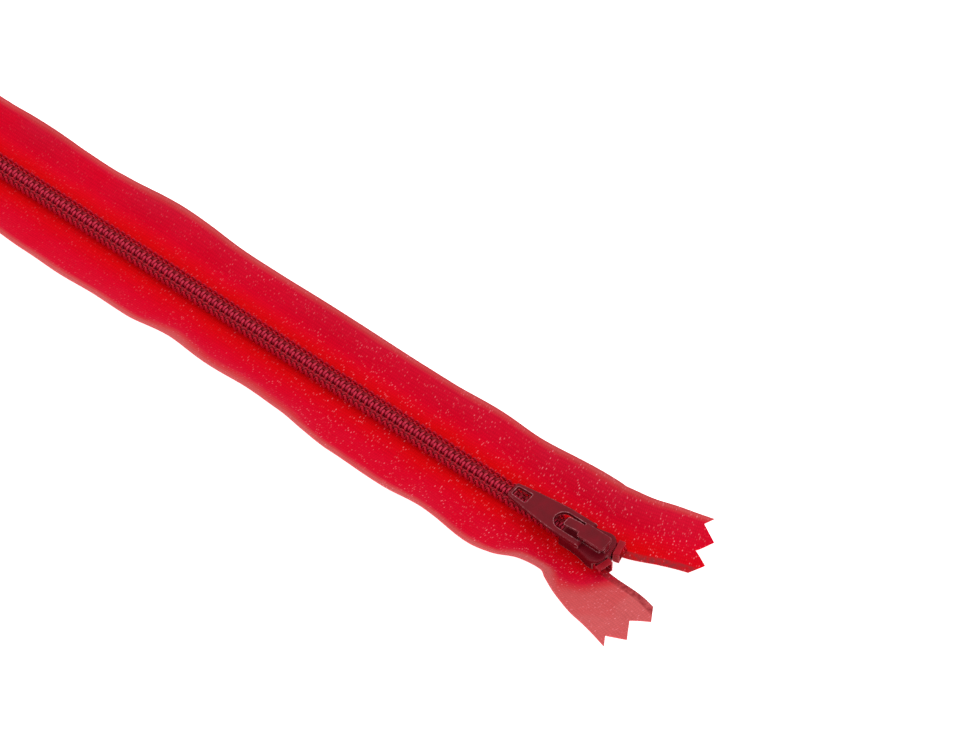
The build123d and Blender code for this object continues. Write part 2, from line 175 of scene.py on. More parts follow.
# ---- the line that the chain follows ----------------------------------------
@dataclass(frozen=True)
class ChainLine:
    """Centre line of the closed chain, and its fork inside the slider."""

    start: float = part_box("bottom_stop")[0].x
    front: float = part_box("slider_body")[1].x
    fork_angle: float = math.radians(14.0)
    fork_radius: float = 16 * MM
    fork_setback: float = 4.8 * MM

    @property
    def fork_start(self) -> float:
        """Chain length where the sides begin to turn apart."""
        tangent = self.fork_radius * math.tan(self.fork_angle / 2)
        return self.front - self.start - self.fork_setback - tangent

    @property
    def fork_end(self) -> float:
        """Chain length where the sides run straight again."""
        return self.fork_start + self.fork_radius * self.fork_angle

    @property
    def mouth(self) -> float:
        """Chain length at the slider's front."""
        gone = self.fork_start + self.fork_radius * math.sin(self.fork_angle)
        left = self.front - self.start - gone
        return self.fork_end + left / math.cos(self.fork_angle)

    def carry(self, points: np.ndarray, side: Side) -> np.ndarray:
        """Lays points given along the chain into the model's frame.

        Args:
            points: rows of chain length, outward offset and height.
            side: which half they belong to.

        Returns:
            Rows of x, y and z.
        """
        x, t, z = points.T
        turn = np.clip((x - self.fork_start) / self.fork_radius, 0.0, self.fork_angle)
        radius = self.fork_radius - t
        after = np.maximum(x - self.fork_end, 0.0)
        px = np.minimum(x, self.fork_start) + radius * np.sin(turn) + after * np.cos(turn)
        py = self.fork_radius - radius * np.cos(turn) + after * np.sin(turn)
        return np.column_stack([px + self.start, side.value * py, z])


@dataclass(frozen=True)
class TapeForm:
    """How one woven tape lies: raised under the chain, its outer edge curled up.

    A cross-section is a line of fixed length whose slope dips off the chain's
    ridge to the surface and then curls upwards. Two things widen it a little:
    swells, where the outer edge is stretched outwards, and the inner edge, which
    is drawn in under the closed coils so that no gap shows between them.
    """

    side: Side
    line: ChainLine
    inner: float
    width: float
    thickness: float
    ridge: float
    curls: tuple[float, ...]
    tail_lift: tuple[float, float]
    tail_turn: float
    swells: tuple[tuple[float, float, float], ...]
    glow: float
    tail_glow: float
    rim_glow: float
    first_station: float = -14 * MM
    station_pitch: float = 6 * MM
    steepest: float = math.radians(58.0)
    dip: float = 0.46
    dip_span: tuple[float, float] = (3.2 * MM, 7.0 * MM)
    curl_span: tuple[float, float] = (3.6 * MM, 8.0 * MM)
    closed_gap: float = 0.02 * MM
    closed_reach: float = 3 * MM
    stop_run: float = 2 * MM
    tail_run: float = 13 * MM
    turn_run: float = 8 * MM
    turn_share: float = 0.8
    outward_paleness: float = 0.34
    outward_span: tuple[float, float] = (2.2 * MM, 5.5 * MM)
    clear_span: tuple[float, float] = (1.1 * MM, 3.4 * MM)
    rim_span: tuple[float, float] = (2.1 * MM, 2.0 * MM)
    band_width: float = 1.5 * MM
    sections: int = 96

    @property
    def outer(self) -> float:
        """Offset of the outer edge when the tape lies flat."""
        return self.inner + self.width

    def curl(self, x: np.ndarray) -> np.ndarray:
        """Share of the full curl, blended between stations.

        Args:
            x: chain lengths.

        Returns:
            Shares from 0 to 1.
        """
        stations = self.first_station + self.station_pitch * np.arange(len(self.curls))
        apart = np.abs(x[:, None] - stations[None]) / (1.5 * self.station_pitch)
        weights = np.cos(np.clip(apart, 0, 1) * math.pi / 2) ** 2
        return weights @ np.array(self.curls) / weights.sum(axis=1)

    def tail(self, x: np.ndarray) -> np.ndarray:
        """How far along the free top tail a place is.

        Args:
            x: chain lengths.

        Returns:
            Shares from 0 at the slider to 1.
        """
        return smooth((x - self.line.mouth) / self.tail_run)

    def raised(self, x: np.ndarray, across: np.ndarray) -> np.ndarray:
        """Height of the middle of the cloth on the ridge, with the tail's lift.

        Args:
            x: chain lengths.
            across: distances from the inner edge.

        Returns:
            Heights above the surface that the zipper lies on.
        """
        share = across / self.width
        lift = self.tail_lift[0] * (1 - share) + self.tail_lift[1] * share
        return self.ridge + self.thickness / 2 + self.tail(x) * lift

    def fold(self, x: np.ndarray, across: np.ndarray) -> tuple[np.ndarray, np.ndarray]:
        """Follows the curled cross-section out from the inner edge.

        Args:
            x: chain lengths.
            across: distances along the cloth from the inner edge.

        Returns:
            Outward offsets and heights of the middle of the cloth.
        """
        steps = (np.arange(self.sections) + 0.5) / self.sections
        out = across[:, None] * steps[None]
        curl = self.curl(x)[:, None]
        start, end = self.dip_span
        dip = -self.dip * np.sin(math.pi * np.clip((out - start) / (end - start), 0, 1)) ** 2
        start, end = self.curl_span
        rise = self.steepest * smooth((out - start) / (end - start))
        slope = dip * (1 - curl) + rise * curl
        t = self.inner + across * np.cos(slope).mean(axis=1)
        for at, reach, amount in self.swells:
            swell = np.cos(np.clip((x - at) / reach, -1, 1) * math.pi / 2) ** 2
            t = t + amount * swell * across / self.width
        reach = self.closed_reach
        shut = smooth((self.line.fork_start - x) / reach) * smooth(x / self.stop_run)
        drawn = (self.inner - self.closed_gap) * shut * smooth((reach - across) / reach)
        z = self.raised(x, across) + across * np.sin(slope).mean(axis=1)
        return t - drawn, z

    def turned(self, x: np.ndarray, t: np.ndarray) -> tuple[np.ndarray, np.ndarray]:
        """Turns the free tail a little further outwards than the slider's fork.

        Args:
            x: chain lengths.
            t: outward offsets.

        Returns:
            Chain lengths and offsets after the turn.
        """
        past = np.maximum(x - self.line.mouth, 0.0)
        turn = self.tail_turn * smooth(past / self.turn_run)
        return x - t * turn, t + self.turn_share * past * turn

    def paleness(self, x: np.ndarray, across: np.ndarray, z: np.ndarray) -> np.ndarray:
        """How pale the cloth looks, from light that comes in behind it.

        Args:
            x: chain lengths.
            across: distances from the inner edge.
            z: heights of the cloth.

        Returns:
            Values from 0, deep red by the chain, to 1.
        """
        start, run = self.outward_span
        outward = self.outward_paleness * smooth((across - start) / run)
        start, run = self.clear_span
        clear = smooth((z - start) / run) * self.glow
        reach, run = self.rim_span
        rim = smooth((across - self.width + reach) / run) * self.rim_glow
        begun = x - self.line.mouth + 1 * MM + across / 2
        past = smooth(begun / self.turn_run) * self.tail_glow
        most = np.maximum(np.maximum(clear, rim), past)
        return outward + (1 - outward) * np.clip(most, 0, 1)

    def tail_band(self, x: np.ndarray, across: np.ndarray) -> np.ndarray:
        """Marks the inner band of the tails, where no coil is sewn, for painted shade:
        the edge cord and stitching there are darkened as if lying in shade.

        Args:
            x: chain lengths.
            across: distances from the inner edge.

        Returns:
            Values from 0, plain cloth, to 1.
        """
        wide = self.band_width
        past = np.maximum(smooth((x - self.line.mouth) / wide), smooth(-x / wide))
        return past * smooth((wide - across) / (wide / 3))


# ---- finishes ---------------------------------------------------------------
class Nodes:
    """A material and its node tree, built node by node."""

    def __init__(self, name: str) -> None:
        """Starts an empty material.

        Args:
            name: what the finish is called.
        """
        self.material = bpy.data.materials.new(name)
        self.material.use_nodes = True
        self.tree = self.material.node_tree
        self.tree.nodes.clear()
        output = self.tree.nodes.new("ShaderNodeOutputMaterial")
        self.shader = self.tree.nodes.new("ShaderNodeBsdfPrincipled")
        self.tree.links.new(self.shader.outputs[0], output.inputs["Surface"])

    def add(self, kind: str, settings: dict | None = None, **inputs) -> bpy.types.Node:
        """Adds a node with its settings and links.

        Args:
            kind: the node's type.
            settings: attributes to set on the node.
            inputs: socket name, or index after an underscore, to a value, a node,
                or a pair of a node and its output's name.

        Returns:
            The new node.
        """
        node = self.tree.nodes.new(kind)
        for key, value in (settings or {}).items():
            setattr(node, key, value)
        for key, value in inputs.items():
            self.feed(node, key, value)
        return node

    def feed(self, node: bpy.types.Node, key: str, value: object) -> None:
        """Sets or links one input of a node.

        Args:
            node: the node that takes it.
            key: socket name with underscores for spaces, or _0, _1 for an index.
            value: a constant, a node, or a pair of a node and its output's name.
        """
        index = key[1:] if key.startswith("_") else None
        socket = node.inputs[int(index)] if index else node.inputs[key.replace("_", " ")]
        if isinstance(value, bpy.types.Node):
            self.tree.links.new(value.outputs[0], socket)
        elif isinstance(value, tuple) and isinstance(value[0], bpy.types.Node):
            self.tree.links.new(value[0].outputs[value[1]], socket)
        else:
            socket.default_value = value

    def ramp(self, source: object, stops: list[tuple[float, object]]) -> bpy.types.Node:
        """Adds a colour ramp.

        Args:
            source: what drives it.
            stops: positions with a grey value or a hex colour.

        Returns:
            The ramp node.
        """
        node = self.add("ShaderNodeValToRGB", Fac=source)
        while len(node.color_ramp.elements) < len(stops):
            node.color_ramp.elements.new(1.0)
        for element, (place, colour) in zip(node.color_ramp.elements, stops):
            element.position = place
            grey = isinstance(colour, float)
            element.color = (colour,) * 3 + (1.0,) if grey else linear(colour)
        return node

    def mix(
        self, factor: object, first: object, second: object, how: str = "MIX"
    ) -> tuple[bpy.types.Node, int]:
        """Adds a colour mix.

        Args:
            factor: share of the second colour.
            first: colour, or a node.
            second: colour, or a node.
            how: blend mode.

        Returns:
            The mix node's colour output, as a pair.
        """
        node = self.add("ShaderNodeMix", {"data_type": "RGBA", "blend_type": how})
        self.feed(node, "_0", factor)
        self.feed(node, "_6", first)
        self.feed(node, "_7", second)
        return node, 2


def wave_scale(pitch: float) -> float:
    """Scale at which the wave texture repeats at a pitch.

    Args:
        pitch: distance between two crests.

    Returns:
        The texture's scale.
    """
    return 2 * math.pi / (20 * pitch)


@dataclass(frozen=True)
class WovenTape:
    """Dyed polyester tape, woven on a narrow needle loom.

    It gives the eye a saturated red with fine ribs along the tape and cross picks.
    Painted glints, pale pink specks, stand in for light caught by sparkling yarn
    ends. A painted glow turns it crimson and then pale pink towards edges that
    stand clear of the surface and let light through, and painted shade darkens
    the inner band of the tails, where the edge cord and stitching lie in shade.
    """

    name: str = "woven_polyester_tape"
    tones: tuple[str, ...] = ("D8020A", "D60224", "D41232", "D2383F", "CE5A5C")
    band: str = "8E2A30"
    glint_pink: str = "FF94A0"
    rib_pitch: float = 0.62 * MM
    pick_pitch: float = 0.42 * MM
    speck: tuple[float, float] = (0.34 * MM, 0.66 * MM)

    def material(self) -> bpy.types.Material:
        """Builds the finish.

        Returns:
            The material.
        """
        m = Nodes(self.name)
        cloth = m.add("ShaderNodeUVMap", {"uv_map": "cloth"})
        ribs = m.add(
            "ShaderNodeTexWave",
            {"wave_type": "BANDS", "bands_direction": "Y"},
            Vector=cloth, Scale=wave_scale(self.rib_pitch), Distortion=0.8, Detail=1.0,
        )
        picks = m.add(
            "ShaderNodeTexWave",
            {"wave_type": "BANDS", "bands_direction": "X"},
            Vector=cloth, Scale=wave_scale(self.pick_pitch), Distortion=0.9, Detail=1.0,
        )
        slub = m.add("ShaderNodeTexNoise", Vector=cloth, Scale=1.1 / MM, Detail=3.0)
        cloudy = m.add("ShaderNodeTexNoise", Vector=cloth, Scale=0.14 / MM, Detail=3.0)
        weave = m.add("ShaderNodeMath", {"operation": "MULTIPLY"}, _0=ribs, _1=picks)
        grain = m.add("ShaderNodeMath", {"operation": "MULTIPLY_ADD"}, _0=slub, _1=0.8, _2=weave)
        # Painted glow: the pale attribute shifts the dye from deep red to crimson and pale pink where
        # light would come through the cloth.
        pale = m.add("ShaderNodeAttribute", {"attribute_name": "pale"})
        wander = m.add("ShaderNodeMath", {"operation": "MULTIPLY_ADD"}, _0=cloudy, _1=0.22, _2=-0.11)
        shifted = m.add("ShaderNodeMath", {"operation": "ADD"}, _0=(pale, "Fac"), _1=wander)
        places = (0.0, 0.3, 0.55, 0.76, 1.0)
        dye_and_painted_glow = m.ramp(shifted, list(zip(places, self.tones)))
        shadow = m.ramp(grain, [(0.15, 0.80), (0.9, 1.0)])
        toned = m.mix(1.0, dye_and_painted_glow, shadow, "MULTIPLY")
        # Painted shade: the tails' inner band, where the edge cord and stitching lie in shade, is
        # darkened with a serrated edge.
        band = m.add("ShaderNodeAttribute", {"attribute_name": "band"})
        teeth = m.ramp(slub, [(0.35, 0.25), (0.6, 0.95)])
        band_shade = m.add("ShaderNodeMath", {"operation": "MULTIPLY"}, _0=(band, "Fac"), _1=teeth)
        banded = m.mix(band_shade, toned, linear(self.band))
        # Painted highlight: small pale pink specks, denser towards the slider end, stand in for glints
        # of light off the yarn ends.
        along, aside = self.speck
        cells_at = m.add("ShaderNodeMapping", Vector=cloth, Scale=(1 / along, 1 / aside, 1.0))
        cells = m.add("ShaderNodeTexVoronoi", {"feature": "F1"}, Vector=cells_at, Scale=1.0)
        near = m.ramp((cells, "Distance"), [(0.12, 1.0), (0.36, 0.0)])
        chosen = m.add("ShaderNodeSeparateColor", Color=(cells, "Color"))
        some = m.ramp((chosen, "Red"), [(0.5, 0.0), (0.97, 0.85)])
        specks = m.add("ShaderNodeMath", {"operation": "MULTIPLY"}, _0=near, _1=some)
        place = m.add("ShaderNodeSeparateXYZ", Vector=cloth)
        reach = m.add(
            "ShaderNodeMapRange", Value=(place, "X"),
            From_Min=60 * MM, From_Max=165 * MM, To_Min=0.22, To_Max=1.0,
        )
        patchy = m.ramp(cloudy, [(0.38, 0.35), (0.6, 1.0)])
        denser = m.add("ShaderNodeMath", {"operation": "MULTIPLY"}, _0=reach, _1=patchy)
        sparkle = m.add("ShaderNodeMath", {"operation": "MULTIPLY"}, _0=specks, _1=denser)
        m.feed(m.shader, "Base_Color", m.mix(sparkle, banded, linear(self.glint_pink)))
        bump = m.add("ShaderNodeBump", Strength=0.5, Distance=0.05 * MM, Height=grain)
        m.feed(m.shader, "Normal", bump)
        m.feed(m.shader, "Roughness", 0.7)
        m.feed(m.shader, "Specular_IOR_Level", 0.02)
        return m.material


@dataclass(frozen=True)
class CutEdge:
    """Cut edge of the tape: a rim of yarn ends, painted darker as shade on the edge's thickness."""

    name: str = "shaded_cut_edge"

    def material(self) -> bpy.types.Material:
        """Builds the finish.

        Returns:
            The material.
        """
        m = Nodes(self.name)
        place = m.add("ShaderNodeTexCoord")
        ends = m.add("ShaderNodeTexNoise", Vector=(place, "Object"), Scale=3 / MM, Detail=3.0)
        # Painted shade: the rim's colour runs dark brown-red, standing in for shade on the edge's
        # thickness.
        m.feed(m.shader, "Base_Color", m.ramp(ends, [(0.35, "7A3034"), (0.65, "A8585C")]))
        bump = m.add("ShaderNodeBump", Strength=0.5, Distance=0.04 * MM, Height=ends)
        m.feed(m.shader, "Normal", bump)
        m.feed(m.shader, "Roughness", 0.75)
        m.feed(m.shader, "Specular_IOR_Level", 0.06)
        return m.material


@dataclass(frozen=True)
class Monofilament:
    """Extruded polyester monofilament, dyed and heat-set into a coil.

    It gives the eye smooth, satiny crimson turns, whose heads are paler along
    the middle of the chain.
    """

    name: str = "dyed_monofilament"
    crimson: str = "C40E2A"
    deep: str = "AA0A20"
    head: str = "D23050"
    head_reach: float = 0.75 * MM

    def material(self) -> bpy.types.Material:
        """Builds the finish.

        Returns:
            The material.
        """
        m = Nodes(self.name)
        place = m.add("ShaderNodeTexCoord")
        blotch = m.add("ShaderNodeTexNoise", Vector=(place, "Object"), Scale=0.5 / MM, Detail=2.0)
        legs = m.ramp(blotch, [(0.35, self.deep), (0.65, self.crimson)])
        spot = m.add("ShaderNodeSeparateXYZ", Vector=(place, "Object"))
        # The heads are coloured paler the nearer they lie to the middle of the chain.
        aside = m.add("ShaderNodeMath", {"operation": "ABSOLUTE"}, _0=(spot, "Y"))
        paler_middle = m.add(
            "ShaderNodeMapRange", Value=aside, From_Min=self.head_reach * 0.4,
            From_Max=self.head_reach, To_Min=0.7, To_Max=0.0,
        )
        m.feed(m.shader, "Base_Color", m.mix(paler_middle, legs, linear(self.head)))
        fine = m.add("ShaderNodeTexNoise", Vector=(place, "Object"), Scale=6 / MM, Detail=2.0)
        rough = m.ramp(fine, [(0.3, 0.3), (0.7, 0.42)])
        m.feed(m.shader, "Roughness", rough)
        bump = m.add("ShaderNodeBump", Strength=0.15, Distance=0.01 * MM, Height=fine)
        m.feed(m.shader, "Normal", bump)
        m.feed(m.shader, "Specular_IOR_Level", 0.14)
        return m.material


@dataclass(frozen=True)
class Yarn:
    """Spun and plied polyester, as in sewing thread and filler cord.

    It gives the eye a matt, finely twisted strand that catches a little light
    on each ply.
    """

    name: str
    light: str
    dark: str
    ply_pitch: float

    def material(self) -> bpy.types.Material:
        """Builds the finish.

        Returns:
            The material.
        """
        m = Nodes(self.name)
        place = m.add("ShaderNodeTexCoord")
        turned = m.add("ShaderNodeMapping", Vector=(place, "Object"), Rotation=(0.0, 0.0, 0.6))
        plies = m.add(
            "ShaderNodeTexWave",
            {"wave_type": "BANDS", "bands_direction": "X"},
            Vector=turned, Scale=wave_scale(self.ply_pitch), Distortion=0.5, Detail=1.0,
        )
        fuzz = m.add("ShaderNodeTexNoise", Vector=(place, "Object"), Scale=5 / MM, Detail=3.0)
        both = m.add("ShaderNodeMath", {"operation": "MULTIPLY_ADD"}, _0=fuzz, _1=0.5, _2=plies)
        m.feed(m.shader, "Base_Color", m.ramp(both, [(0.2, self.dark), (1.0, self.light)]))
        bump = m.add("ShaderNodeBump", Strength=0.4, Distance=0.03 * MM, Height=both)
        m.feed(m.shader, "Normal", bump)
        m.feed(m.shader, "Roughness", 0.6)
        m.feed(m.shader, "Specular_IOR_Level", 0.08)
        return m.material


@dataclass(frozen=True)
class BakedEnamel:
    """Baked enamel over cast or pressed metal.

    It gives the eye a dark, even coat with a soft gloss and a faint orange
    peel, paler along every edge: partly rubbed wear and partly a painted
    highlight of light catching the edges.
    """

    name: str
    coat: str
    dark: str
    rubbed_highlight: str
    roughness: float = 0.36
    edge_radius: float = 0.32 * MM

    def material(self) -> bpy.types.Material:
        """Builds the finish.

        Returns:
            The material.
        """
        m = Nodes(self.name)
        place = m.add("ShaderNodeTexCoord")
        cloud = m.add("ShaderNodeTexNoise", Vector=(place, "Object"), Scale=0.45 / MM, Detail=4.0)
        base = m.ramp(cloud, [(0.3, self.dark), (0.7, self.coat)])
        # Painted highlight with wear: every edge, found from the bevel normal, is mixed towards a pale
        # pink-grey that stands in for light catching the edges, broken up like rubbed wear.
        soft = m.add("ShaderNodeBevel", {"samples": 8}, Radius=self.edge_radius)
        true = m.add("ShaderNodeNewGeometry")
        facing = m.add(
            "ShaderNodeVectorMath", {"operation": "DOT_PRODUCT"}, _0=soft, _1=(true, "True Normal")
        )
        chips = m.add("ShaderNodeTexNoise", Vector=(place, "Object"), Scale=2.4 / MM, Detail=4.0)
        edge = m.ramp((facing, "Value"), [(0.9, 1.0), (0.995, 0.0)])
        broken = m.ramp(chips, [(0.42, 0.25), (0.62, 1.0)])
        wear_and_highlight = m.add("ShaderNodeMath", {"operation": "MULTIPLY"}, _0=edge, _1=broken)
        m.feed(m.shader, "Base_Color", m.mix(wear_and_highlight, base, linear(self.rubbed_highlight)))
        peel = m.add("ShaderNodeTexNoise", Vector=(place, "Object"), Scale=3.5 / MM, Detail=1.0)
        bump = m.add("ShaderNodeBump", Strength=0.12, Distance=0.02 * MM, Height=peel)
        m.feed(m.shader, "Normal", bump)
        low, high = self.roughness - 0.05, self.roughness + 0.09
        m.feed(m.shader, "Roughness", m.ramp(cloud, [(0.3, low), (0.7, high)]))
        m.feed(m.shader, "Specular_IOR_Level", 0.05)
        return m.material


@dataclass(frozen=True)
class PaleBoard:
    """Matt white board that the zipper lies on: an even, shadow-soft ground."""

    name: str = "matt_white_board"

    def material(self) -> bpy.types.Material:
        """Builds the finish.

        Returns:
            The material.
        """
        m = Nodes(self.name)
        place = m.add("ShaderNodeTexCoord")
        tooth = m.add("ShaderNodeTexNoise", Vector=(place, "Object"), Scale=0.5 / MM, Detail=2.0)
        m.feed(m.shader, "Base_Color", m.ramp(tooth, [(0.3, "F6F6F6"), (0.7, "FBFBFB")]))
        m.feed(m.shader, "Roughness", 0.9)
        m.feed(m.shader, "Specular_IOR_Level", 0.0)
        m.feed(m.shader, "Emission_Color", linear("FFFFFF"))
        m.feed(m.shader, "Emission_Strength", 0.85)
        return m.material


# ---- the tapes --------------------------------------------------------------
@dataclass
class Tape:
    """One woven tape, pinked at both ends."""

    form: TapeForm
    bottom_end: float
    top_end: float
    bottom_phase: float
    top_phase: float
    pink_pitch: float = 5.45 * MM
    pink_depth: float = 2.7 * MM
    column: float = 0.36 * MM
    row: float = 0.75 * MM
    cut_zone: float = 8 * MM

    def corners(self, phase: float) -> list[float]:
        """Offsets of the zigzag's corners within the tape's width.

        Args:
            phase: offset of one point of the zigzag.

        Returns:
            The offsets, in order.
        """
        half = self.pink_pitch / 2
        first = math.ceil((self.form.inner - phase) / half)
        last = math.floor((self.form.outer - phase) / half)
        return [phase + k * half for k in range(first, last + 1)]

    def notch(self, t: np.ndarray, phase: float) -> np.ndarray:
        """Depth of the zigzag cut.

        Args:
            t: outward offsets.
            phase: offset of one point of the zigzag.

        Returns:
            How far the cut lies in from the points' ends.
        """
        share = np.abs((t - phase) / (self.pink_pitch / 2)) % 2.0
        return self.pink_depth * np.minimum(share, 2.0 - share)

    def columns(self) -> np.ndarray:
        """Places the cloth's lengthwise lines, with every corner among them.

        Returns:
            Their offsets, in order.
        """
        inner, outer = self.form.inner, self.form.outer
        count = round((outer - inner) / self.column)
        fixed = [inner, outer, *self.corners(self.bottom_phase), *self.corners(self.top_phase)]
        even = [inner + (outer - inner) * k / count for k in range(1, count)]
        free = [t for t in even if min(abs(t - f) for f in fixed) > self.column * 0.45]
        return np.array(sorted(set(fixed + free)))

    def build(self) -> bpy.types.Object:
        """Models the tape as a fine sheet and gives it its thickness.

        Returns:
            The tape.
        """
        columns = self.columns()
        length = self.top_end - self.bottom_end
        rows = np.linspace(self.bottom_end, self.top_end, round(length / self.row) + 1)
        deselect()
        bpy.ops.mesh.primitive_grid_add(
            x_subdivisions=len(rows) - 1, y_subdivisions=len(columns) - 1, size=length
        )
        cloth = bpy.context.object
        cloth.name = self.form.side.node("woven_tape")
        plan = read_points(cloth)
        grid_x = np.round((plan[:, 0] / length + 0.5) * (len(rows) - 1)).astype(int)
        grid_y = np.round((plan[:, 1] / length + 0.5) * (len(columns) - 1)).astype(int)
        x, t = rows[grid_x], columns[grid_y]
        near_top = np.clip((x - self.top_end + self.cut_zone) / self.cut_zone, 0, 1)
        near_bottom = np.clip((self.bottom_end + self.cut_zone - x) / self.cut_zone, 0, 1)
        x = x - near_top * self.notch(t, self.top_phase)
        x = x + near_bottom * self.notch(t, self.bottom_phase)
        across = t - self.form.inner
        folded, height = self.form.fold(x, across)
        laid = np.column_stack([*self.form.turned(x, folded), height])
        write_points(cloth, self.form.line.carry(laid, self.form.side))
        # Painted light kept on the cloth for its finish: the glow share, and the tail band's shade.
        shades = {
            "pale": self.form.paleness(x, across, height),
            "band": self.form.tail_band(x, across),
        }
        for name, values in shades.items():
            shade_layer = cloth.data.attributes.new(name, "FLOAT", "POINT")
            shade_layer.data.foreach_set("value", values.astype(np.float32))
        while cloth.data.uv_layers:
            cloth.data.uv_layers.remove(cloth.data.uv_layers[0])
        layer = cloth.data.uv_layers.new(name="cloth")
        corner = np.empty(len(cloth.data.loops), np.int64)
        cloth.data.loops.foreach_get("vertex_index", corner)
        flat = np.column_stack([x, across])
        layer.data.foreach_set("uv", flat[corner].astype(np.float32).ravel())
        if self.form.side is Side.RIGHT:
            choose(cloth)
            bpy.ops.object.mode_set(mode="EDIT")
            bpy.ops.mesh.select_all(action="SELECT")
            bpy.ops.mesh.flip_normals()
            bpy.ops.object.mode_set(mode="OBJECT")
        wall = cloth.modifiers.new("thickness", "SOLIDIFY")
        wall.thickness = self.form.thickness
        wall.offset = 0.0
        wall.material_offset_rim = 1
        apply_all(cloth)
        shade(cloth, 50)
        return cloth


# ---- what is wound, laid and sewn along the chain ----------------------------
@dataclass(frozen=True)
class Ring:
    """One cross-section of a bent strand: its middle, heading and half-sizes."""

    middle: tuple[float, float, float]
    heading: tuple[float, float, float]
    wide: float
    thick: float


def strand(name: str, rings: list[Ring], sides: int) -> bpy.types.Object:
    """Models a strand by extruding a small circle from ring to ring.

    Args:
        name: the new piece's name.
        rings: the cross-sections, in order.
        sides: corners of the cross-section.

    Returns:
        The strand, open at both ends.
    """
    deselect()
    bpy.ops.mesh.primitive_circle_add(vertices=sides, radius=1.0, fill_type="NOTHING")
    piece = bpy.context.object
    piece.name = name
    bpy.ops.object.mode_set(mode="EDIT")
    for _ in rings[1:]:
        bpy.ops.mesh.extrude_region_move(TRANSFORM_OT_translate={"value": (0, 0, 1)})
    bpy.ops.object.mode_set(mode="OBJECT")
    unit = read_points(piece)
    level = np.round(unit[:, 2]).astype(int)
    shaped = np.empty_like(unit)
    for k, ring in enumerate(rings):
        heading = Vector(ring.heading).normalized()
        across = heading.cross(Vector((0, 1, 0)))
        if across.length < 0.2:
            across = heading.cross(Vector((1, 0, 0)))
        across.normalize()
        up = across.cross(heading)
        here = level == k
        wide, thick = unit[here, 0] * ring.wide, unit[here, 1] * ring.thick
        shaped[here] = (
            np.array(ring.middle) + np.outer(thick, np.array(across)) + np.outer(wide, np.array(up))
        )
    write_points(piece, shaped)
    return piece


def repeat(piece: bpy.types.Object, count: int, pitch: float) -> None:
    """Repeats a piece along the chain and welds the copies end to end.

    Args:
        piece: one turn or stitch.
        count: how many there are.
        pitch: distance between them.
    """
    row = piece.modifiers.new("turns", "ARRAY")
    row.use_relative_offset = False
    row.use_constant_offset = True
    row.constant_offset_displace = (pitch, 0, 0)
    row.count = count
    row.use_merge_vertices = True
    row.merge_threshold = 0.01 * MM
    apply_all(piece)


def outward(piece: bpy.types.Object) -> None:
    """Closes a piece's open ends and points its faces outwards.

    Args:
        piece: the mesh object.
    """
    choose(piece)
    bpy.ops.object.mode_set(mode="EDIT")
    bpy.ops.mesh.select_all(action="SELECT")
    bpy.ops.mesh.remove_doubles(threshold=0.005 * MM)
    bpy.ops.mesh.select_all(action="DESELECT")
    bpy.ops.mesh.select_non_manifold(extend=False)
    bpy.ops.mesh.edge_face_add()
    bpy.ops.mesh.select_all(action="SELECT")
    bpy.ops.mesh.normals_make_consistent(inside=False)
    bpy.ops.object.mode_set(mode="OBJECT")


